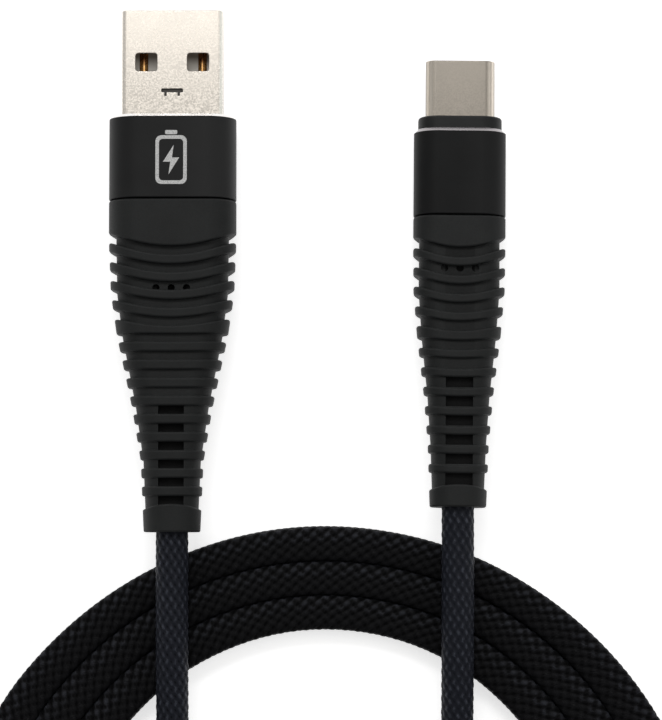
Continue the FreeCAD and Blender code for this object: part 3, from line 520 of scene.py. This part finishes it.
def boot_rubber(plug):
    """Moulded rubber: a matt spark-eroded grain, a painted highlight along its edges, and a painted
    shade in its slots.
    """
    axes = plug_frames[plug]
    g = Graph("boot_rubber_" + plug, (0.008, 0.009, 0.009), 0.6, specular=0.3)
    g.rounded(0.12 * MM)
    grain = g.noise(6500, detail=4.0, rough=0.62)
    cloud = g.noise(300, detail=3.0, rough=0.55)
    black = g.mix(g.spread(cloud), (0.0064, 0.0072, 0.0072), (0.0092, 0.0103, 0.0103))
    # painted highlight: the rubber's edges are lighter, as if catching the light
    light_edges = g.mix(g.edges(0.10 * MM), black, (0.045, 0.049, 0.049))
    # painted shade: the floors of the slots are darker, as if in shadow
    across = g.math("ABSOLUTE", g.offset(axes.right, axes.tip))
    height_off_axis = g.math("ABSOLUTE", g.offset(axes.up, axes.tip))
    low = g.between(height_off_axis, SLOT_TOP, SLOT_FLOOR)
    slot_shade = g.math("MULTIPLY", low, g.math("LESS_THAN", across, SLOT_REACH))
    g.set("Base Color", g.mix(slot_shade, light_edges, (0.0022, 0.0023, 0.0023)))
    rough = g.spread(grain, 0.54, 0.70)
    g.set("Roughness", g.math("ADD", rough, g.math("MULTIPLY", slot_shade, 0.25)))
    g.bump(grain, strength=0.22, distance=0.02 * MM)
    return g.material


def moulded_plastic(name, colour, roughness=0.45, specular=0.4):
    """Moulded plastic: faint flow clouding and a fine texture."""
    g = Graph(name, colour, roughness, specular=specular)
    g.rounded(0.08 * MM)
    grain = g.noise(8000, detail=3.0, rough=0.6)
    cloud = g.noise(500, detail=3.0, rough=0.5)
    body = g.mix(g.spread(cloud), times(colour, 0.85), times(colour, 1.12))
    light_edges = plus(times(colour, 1.5), 0.004)
    g.set("Base Color", g.mix(g.edges(0.06 * MM), body, light_edges))
    g.set("Roughness", g.spread(grain, roughness - 0.07, roughness + 0.07))
    g.bump(grain, strength=0.12, distance=0.01 * MM)
    return g.material


def plain_metal(name, colour, roughness, streak=(400, 6000, 400)):
    """Rolled metal strip: streaks in line with the rolling, and dull patches."""
    g = Graph(name, colour, roughness, metallic=1.0)
    g.rounded(0.06 * MM)
    lines = g.noise(1.0, detail=3.0, rough=0.55, vector=g.scaled(streak))
    patches = g.noise(900, detail=2.0, rough=0.5)
    g.set("Base Color", g.mix(g.between(patches, 0.35, 0.7), times(colour, 0.78), colour))
    g.set("Roughness", g.spread(lines, roughness - 0.08, roughness + 0.1))
    g.bump(lines, strength=0.12, distance=0.006 * MM)
    return g.material


def tongue_plastic():
    """Grey plastic with painted shadows: dark at the tongue's root, where the mould's shadow
    reaches, and brown at its front, in the shade of the windows' front edges.
    """
    axes = plug_frames["type_a"]
    g = Graph("tongue_plastic", (0.40, 0.375, 0.34), 0.4)
    ahead = g.offset(axes.forward, axes.sleeve_front)
    # painted shadows: brown towards the tip, and dark at the root behind the lit middle
    front = g.between(ahead, *TONGUE_FRONT_SHADOW)
    grey = g.mix(front, (0.20, 0.17, 0.14), (0.52, 0.49, 0.44))
    g.set("Base Color", g.mix(g.between(ahead, *TONGUE_LIT), (0.035, 0.028, 0.022), grey))
    g.bump(g.noise(4000), strength=0.1, distance=0.01 * MM)
    return g.material


def crowned_gold():
    """The type-A plug's contacts: gold strips, each rounded across its width, with a painted shadow
    on their front part.
    """
    axes = plug_frames["type_a"]
    g = Graph("crowned_gold", (0.62, 0.32, 0.10), 0.26, metallic=1.0)
    x = g.math("ABSOLUTE", g.offset(axes.right, axes.stop))
    from_middle = [g.math("ABSOLUTE", g.math("SUBTRACT", x, pin)) for pin in CONTACT_PINS]
    nearest = g.math("MINIMUM", *from_middle)
    drop = g.math("MULTIPLY", g.math("MULTIPLY", nearest, nearest), -0.5 / CONTACT_CROWN)
    g.bump(drop, strength=1.0, distance=1.0)
    wear = g.noise(3000, detail=3.0)
    ahead = g.offset(axes.forward, axes.sleeve_front)
    gold = g.mix(g.between(wear, 0.35, 0.65), (0.62, 0.31, 0.10), (0.88, 0.52, 0.21))
    # painted shadow: the contacts are dark brown towards the tip, where the window's front edge
    # shades them
    g.set("Base Color", g.mix(g.between(ahead, *GOLD_FRONT_SHADOW), (0.20, 0.08, 0.03), gold))
    g.set("Roughness", g.spread(wear, 0.34, 0.22))
    return g.material


def wire_insulation(name, colour):
    """Extruded insulation: glossy, with faint ripples along it."""
    g = Graph(name, colour, 0.3, specular=0.5)
    ripple = g.noise(1.0, detail=2.0, rough=0.5, vector=g.scaled((2500, 500, 2500)))
    g.set("Base Color", g.mix(g.spread(ripple), times(colour, 0.8), colour))
    g.set("Roughness", g.spread(ripple, 0.24, 0.4))
    g.bump(ripple, strength=0.1, distance=0.01 * MM)
    return g.material


def woven_copper():
    """The screen: fine tinned wires that cross."""
    g = Graph("screen_copper", (0.62, 0.52, 0.45), 0.35, metallic=1.0)
    wires = g.node("ShaderNodeTexChecker")
    g.feed(wires, {"Vector": g.place(), "Scale": 6000})
    g.set("Base Color", g.mix(wires.outputs["Fac"], (0.60, 0.48, 0.40), (0.72, 0.66, 0.60)))
    g.set("Roughness", g.spread(g.noise(5000), 0.25, 0.45))
    g.bump(wires.outputs["Fac"], strength=0.3, distance=0.02 * MM)
    return g.material


FILAMENTS = 5  # across a bundle of yarn
# the leads' yarn: a painted shade in the gaps, the bundles' sides, and lighter fluff as a painted
# highlight on the crowns
LEAD_GAP_SHADE, LEAD_SIDE, LEAD_FLUFF = (
    (0.0012, 0.0013, 0.0018),
    (0.0095, 0.0110, 0.0165),
    (0.0170, 0.0185, 0.0260),
)
# the filaments' painted highlight on the crowns, from dark to light
LEAD_LIT_FILAMENTS = (0.0300, 0.0335, 0.0450), (0.0750, 0.0820, 0.1050)
# the coil's yarn: a painted shade in the gaps, the yarn, and the dashes' painted highlight
COIL_GAP_SHADE, COIL_YARN, COIL_DASH_HIGHLIGHT = (
    (0.0007, 0.0007, 0.0010),
    (0.0028, 0.0028, 0.0037),
    (0.0230, 0.0245, 0.0310),
)


def nylon_braid():
    """Nylon yarn: fine filaments in line with each bundle, a painted highlight on each bundle's
    crown and a painted shade in the gaps between bundles.

    The coil's yarn is darker than the leads', with a painted highlight as light dashes on the outer
    half of each turn.
    """
    g = Graph("nylon_braid", (0.007, 0.007, 0.010), 0.45, specular=0.13)
    weave = g.node("ShaderNodeUVMap", uv_map="weave").outputs["UV"]
    parts = g.node("ShaderNodeSeparateXYZ")
    g.feed(parts, {"Vector": weave})
    u, v = parts.outputs["X"], parts.outputs["Y"]
    right, left = g.math("ADD", u, v), g.math("SUBTRACT", u, v)
    cells = g.math("ADD", g.math("FLOOR", right), g.math("FLOOR", left))
    under = g.math("PINGPONG", cells, 1.0)
    gap = g.math("SUBTRACT", right, left)
    across_yarn = g.math("ADD", left, g.math("MULTIPLY", under, gap))
    wobble = g.math("MULTIPLY", g.noise(2400, detail=2.0), 0.5)
    wobbled = g.math("ADD", across_yarn, wobble)
    filament = g.math("SINE", g.math("MULTIPLY", wobbled, 2 * math.pi * FILAMENTS))
    relief_here = g.node("ShaderNodeAttribute", attribute_name="relief").outputs["Fac"]
    coiled = g.node("ShaderNodeAttribute", attribute_name="coiled").outputs["Fac"]

    # painted highlight on the bundles' crowns and painted shade in the gaps between them
    lit = g.mix(g.between(filament, -1.0, 1.0), *LEAD_LIT_FILAMENTS)
    fluff = g.mix(g.between(g.noise(1400, detail=3.0), 0.35, 0.65), LEAD_FLUFF, lit)
    yarn = g.mix(g.between(relief_here, 0.70, 0.95), LEAD_SIDE, fluff)
    yarn = g.mix(g.between(relief_here, 0.08, 0.34), LEAD_GAP_SHADE, yarn)

    # painted shade in the coil's gaps, and a painted highlight as light dashes on the crowns of
    # each turn's outer half
    outward = g.math("COSINE", g.math("MULTIPLY", u, 2 * math.pi / CARRIERS))
    dash_highlight = g.math("MULTIPLY", g.between(relief_here, 0.66, 0.95), g.between(outward, 0.0, 0.35))
    broken = g.between(g.noise(900, detail=3.0), 0.35, 0.62, 0.25, 1.0)
    deep = g.mix(g.between(relief_here, 0.35, 0.9), COIL_GAP_SHADE, COIL_YARN)
    deep = g.mix(g.math("MULTIPLY", dash_highlight, broken), deep, COIL_DASH_HIGHLIGHT)
    g.set("Base Color", g.mix(coiled, yarn, deep))
    rough = g.between(relief_here, 0.3, 1.0, 0.80, 0.31)
    g.set("Roughness", g.math("ADD", rough, g.math("MULTIPLY", coiled, 0.16)))
    g.bump(filament, strength=0.35, distance=0.02 * MM)
    return g.material


def printed_board():
    """Solder mask over copper tracks."""
    g = Graph("board_green", (0.01, 0.09, 0.03), 0.35, specular=0.5)
    tracks = g.node("ShaderNodeTexBrick", offset=0.5)
    g.feed(tracks, {"Vector": g.place(), "Scale": 900})
    g.set("Base Color", g.mix(tracks.outputs["Fac"], (0.008, 0.085, 0.03), (0.02, 0.16, 0.06)))
    g.set("Roughness", g.spread(g.noise(3000), 0.28, 0.42))
    g.bump(tracks.outputs["Fac"], strength=0.2, distance=0.02 * MM)
    return g.material


gold = crowned_gold()
node_looks = {
    "type_a_sleeve": black_aluminium(
        "type_a", bare=(0.84, 0.82, 0.81), black=(0.0094, 0.0096, 0.0098), specular=0.19
    ),
    "type_c_sleeve": black_aluminium(
        "type_c", bare=(0.34, 0.32, 0.33), black=(0.0062, 0.0065, 0.0067), specular=0.14
    ),
    "type_a_boot": boot_rubber("type_a"),
    "type_c_boot": boot_rubber("type_c"),
    "type_a_contact_power": gold,
    "type_a_contact_data_minus": gold,
    "type_a_contact_data_plus": gold,
    "type_a_contact_ground": gold,
}
slot_looks = {
    "shell_nickel": satin_nickel(
        "type_a", colour=(0.73, 0.680, 0.615), roughness=0.30, grain=0.40, left=1.0, right=1.5
    ),
    "type_c_nickel": satin_nickel(
        "type_c", colour=(0.275, 0.250, 0.217), roughness=0.34, grain=0.12, left=2.5, right=3.1
    ),
    "mould_black": moulded_plastic("mould_black", (0.008, 0.009, 0.009), 0.5, specular=0.26),
    "tongue_plastic": tongue_plastic(),
    "insulator_black": moulded_plastic("insulator_black", (0.014, 0.014, 0.015), 0.4),
    "contact_gold": plain_metal("contact_gold", (0.80, 0.44, 0.16), 0.2),
    "spring_steel": plain_metal("spring_steel", (0.60, 0.59, 0.57), 0.28),
    "solder_tin": plain_metal("solder_tin", (0.72, 0.72, 0.73), 0.22, streak=(2500, 2500, 2500)),
    "screen_copper": woven_copper(),
    "jacket_plastic": moulded_plastic("jacket_plastic", (0.02, 0.02, 0.02), 0.5),
    "cord_braid": nylon_braid(),
    "wire_red": wire_insulation("wire_red", (0.50, 0.02, 0.02)),
    "wire_white": wire_insulation("wire_white", (0.72, 0.72, 0.69)),
    "wire_green": wire_insulation("wire_green", (0.02, 0.30, 0.06)),
    "wire_black": wire_insulation("wire_black", (0.015, 0.015, 0.015)),
    "board_green": printed_board(),
    "resistor_ceramic": moulded_plastic("resistor_ceramic", (0.02, 0.02, 0.02), 0.35),
    "clamp_steel": plain_metal("clamp_steel", (0.50, 0.49, 0.47), 0.32),
}

cord_mesh.materials.append(slot_looks["cord_braid"])
for part in frame["record"]["subparts"]:
    slots = nodes[part["node"]].data.materials
    slots.clear()
    slots.append(node_looks.get(part["node"]) or slot_looks[part["material_slot"]])

# ---------------------------------------------------------------- the printed mark

MARK_WIDTH, MARK_LENGTH = 3.7 * MM, 6.4 * MM
MARK_LINE = 0.42 * MM
MARK_CORNER = 0.7 * MM
HOLLOW_CORNER = MARK_CORNER - 0.6 * MARK_LINE
MARK_THICK = 0.02 * MM
MARK_FRONT = 2.05 * MM  # how far its top is behind the sleeve's front
CAP_HEIGHT, CAP_GAP = 0.62 * MM, 0.12 * MM  # the battery's cap, with the gap under it
CAP_HALF_WIDTH, CAP_CORNER = 0.72 * MM, 0.16 * MM
BOLT = ((0.30, 1.75), (-0.95, -0.25), (-0.10, -0.25), (-0.30, -1.75), (0.95, 0.25), (0.10, 0.25))
CORNER_STEPS = 6


def rounded_outline(half_width, low_y, high_y, corner):
    points = []
    for sx, y, start in ((1, high_y, 0), (-1, high_y, 90), (-1, low_y, 180), (1, low_y, 270)):
        middle_x = sx * (half_width - corner)
        middle_y = y - corner if y == high_y else y + corner
        for i in range(CORNER_STEPS + 1):
            a = math.radians(start + 90 * i / CORNER_STEPS)
            points.append((middle_x + corner * math.cos(a), middle_y + corner * math.sin(a)))
    return points


def slab_of(bm, outline, hole, place_of):
    """A thin closed plate: an outline, less a hole with as many points, or a plain fill."""
    layers = []
    for level in (0.0, MARK_THICK):
        outer = [bm.verts.new(place_of(x, y, level)) for x, y in outline]
        inner = [bm.verts.new(place_of(x, y, level)) for x, y in hole] if hole else []
        layers.append((outer, inner))
    count = len(outline)
    (low_outer, low_inner), (top_outer, top_inner) = layers
    for i in range(count):
        k = (i + 1) % count
        bm.faces.new((low_outer[i], low_outer[k], top_outer[k], top_outer[i]))
        if hole:
            bm.faces.new((top_outer[i], top_outer[k], top_inner[k], top_inner[i]))
            bm.faces.new((low_outer[k], low_outer[i], low_inner[i], low_inner[k]))
            bm.faces.new((low_inner[k], low_inner[i], top_inner[i], top_inner[k]))
    if not hole:
        bm.faces.new(top_outer)
        bm.faces.new(list(reversed(low_outer)))


def mark_ink():
    """Matt light grey ink with fine gaps in it."""
    g = Graph("mark_ink", (0.62, 0.62, 0.61), 0.5, specular=0.3)
    speckle = g.noise(9000, detail=3.0)
    inked = g.between(speckle, 0.36, 0.55)
    g.set("Base Color", g.mix(inked, (0.42, 0.42, 0.42), (0.68, 0.68, 0.67)))
    g.bump(speckle, strength=0.2, distance=0.01 * MM)
    return g.material


def printed_mark():
    """A plain battery with a bolt in it, printed on the flat plug's sleeve."""
    axes = plug_frames["type_a"]
    high = axes.front - MARK_FRONT
    low = high - MARK_LENGTH
    shoulder = high - CAP_HEIGHT
    half = MARK_WIDTH / 2

    def place_of(x, y, level):
        return axes.at(x, y, axes.top + level)

    bm = bmesh.new()
    body = rounded_outline(half, low, shoulder, MARK_CORNER)
    hollow = rounded_outline(
        half - MARK_LINE, low + MARK_LINE, shoulder - MARK_LINE, HOLLOW_CORNER
    )
    cap = rounded_outline(CAP_HALF_WIDTH, shoulder + CAP_GAP, high, CAP_CORNER)
    middle = (low + shoulder) / 2
    slab_of(bm, body, hollow, place_of)
    slab_of(bm, cap, None, place_of)
    slab_of(bm, [(x * MM, middle + y * MM) for x, y in BOLT], None, place_of)
    bmesh.ops.triangulate(bm, faces=[face for face in bm.faces if len(face.verts) > 4])
    bmesh.ops.recalc_face_normals(bm, faces=bm.faces)
    mesh = bpy.data.meshes.new("printed_mark")
    bm.to_mesh(mesh)
    bm.free()
    mesh.materials.append(mark_ink())
    mark = add_object("printed_mark", mesh)
    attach(mark, "root")


printed_mark()

# ---------------------------------------------------------------- floor and lights

WHITE = (1.0, 1.0, 1.0)
FLOOR_HALF = 3.0
FLOOR_GLOW = 0.62  # the floor shines a little, so that it comes out white
WORLD_LIGHT = 0.28
LIGHTS = (  # name, place, width, length, watts, colour: each one faces the cable
    ("overhead", (0.05, 0.24, 0.78), 1.20, 0.32, 1.10, (1.0, 0.985, 0.955)),
    ("key", (-0.05, 0.42, 0.70), 0.30, 0.16, 1.30, WHITE),
    ("back_strip", (0.0, 0.70, 0.14), 0.80, 0.12, 1.20, WHITE),
    ("left_fill", (-0.62, 0.08, 0.48), 0.40, 0.45, 0.36, WHITE),
    ("right_fill", (0.62, 0.08, 0.48), 0.40, 0.45, 0.48, WHITE),
)


def floor():
    g = Graph("floor", (0.93, 0.93, 0.93), 0.85, specular=0.2)
    g.set("Emission Color", (*WHITE, 1.0))
    g.set("Emission Strength", FLOOR_GLOW)
    cloud = g.noise(40, detail=2.0)
    g.set("Base Color", g.mix(g.spread(cloud), (0.925, 0.925, 0.925), (0.935, 0.935, 0.935)))
    mesh = bpy.data.meshes.new("floor")
    corners = [(x * FLOOR_HALF, y * FLOOR_HALF, 0) for x, y in ((-1, -1), (1, -1), (1, 1), (-1, 1))]
    mesh.from_pydata(corners, [], [(0, 1, 2, 3)])
    mesh.materials.append(g.material)
    add_object("floor", mesh)


floor()
for name, place, width, length, watts, colour in LIGHTS:
    data = bpy.data.lights.new(name, "AREA")
    data.shape = "RECTANGLE"
    data.size, data.size_y, data.energy, data.color = width, length, watts, colour
    light = add_object(name, data)
    light.location = Vector(place)
    light.rotation_euler = (-Vector(place)).to_track_quat("-Z", "Y").to_euler()

world = bpy.data.worlds.new("studio")
world.use_nodes = True
background = world.node_tree.nodes["Background"]
background.inputs["Color"].default_value = (*WHITE, 1.0)
background.inputs["Strength"].default_value = WORLD_LIGHT
bpy.context.scene.world = world
bpy.context.scene.view_settings.view_transform = "Standard"

bpy.context.view_layer.update()
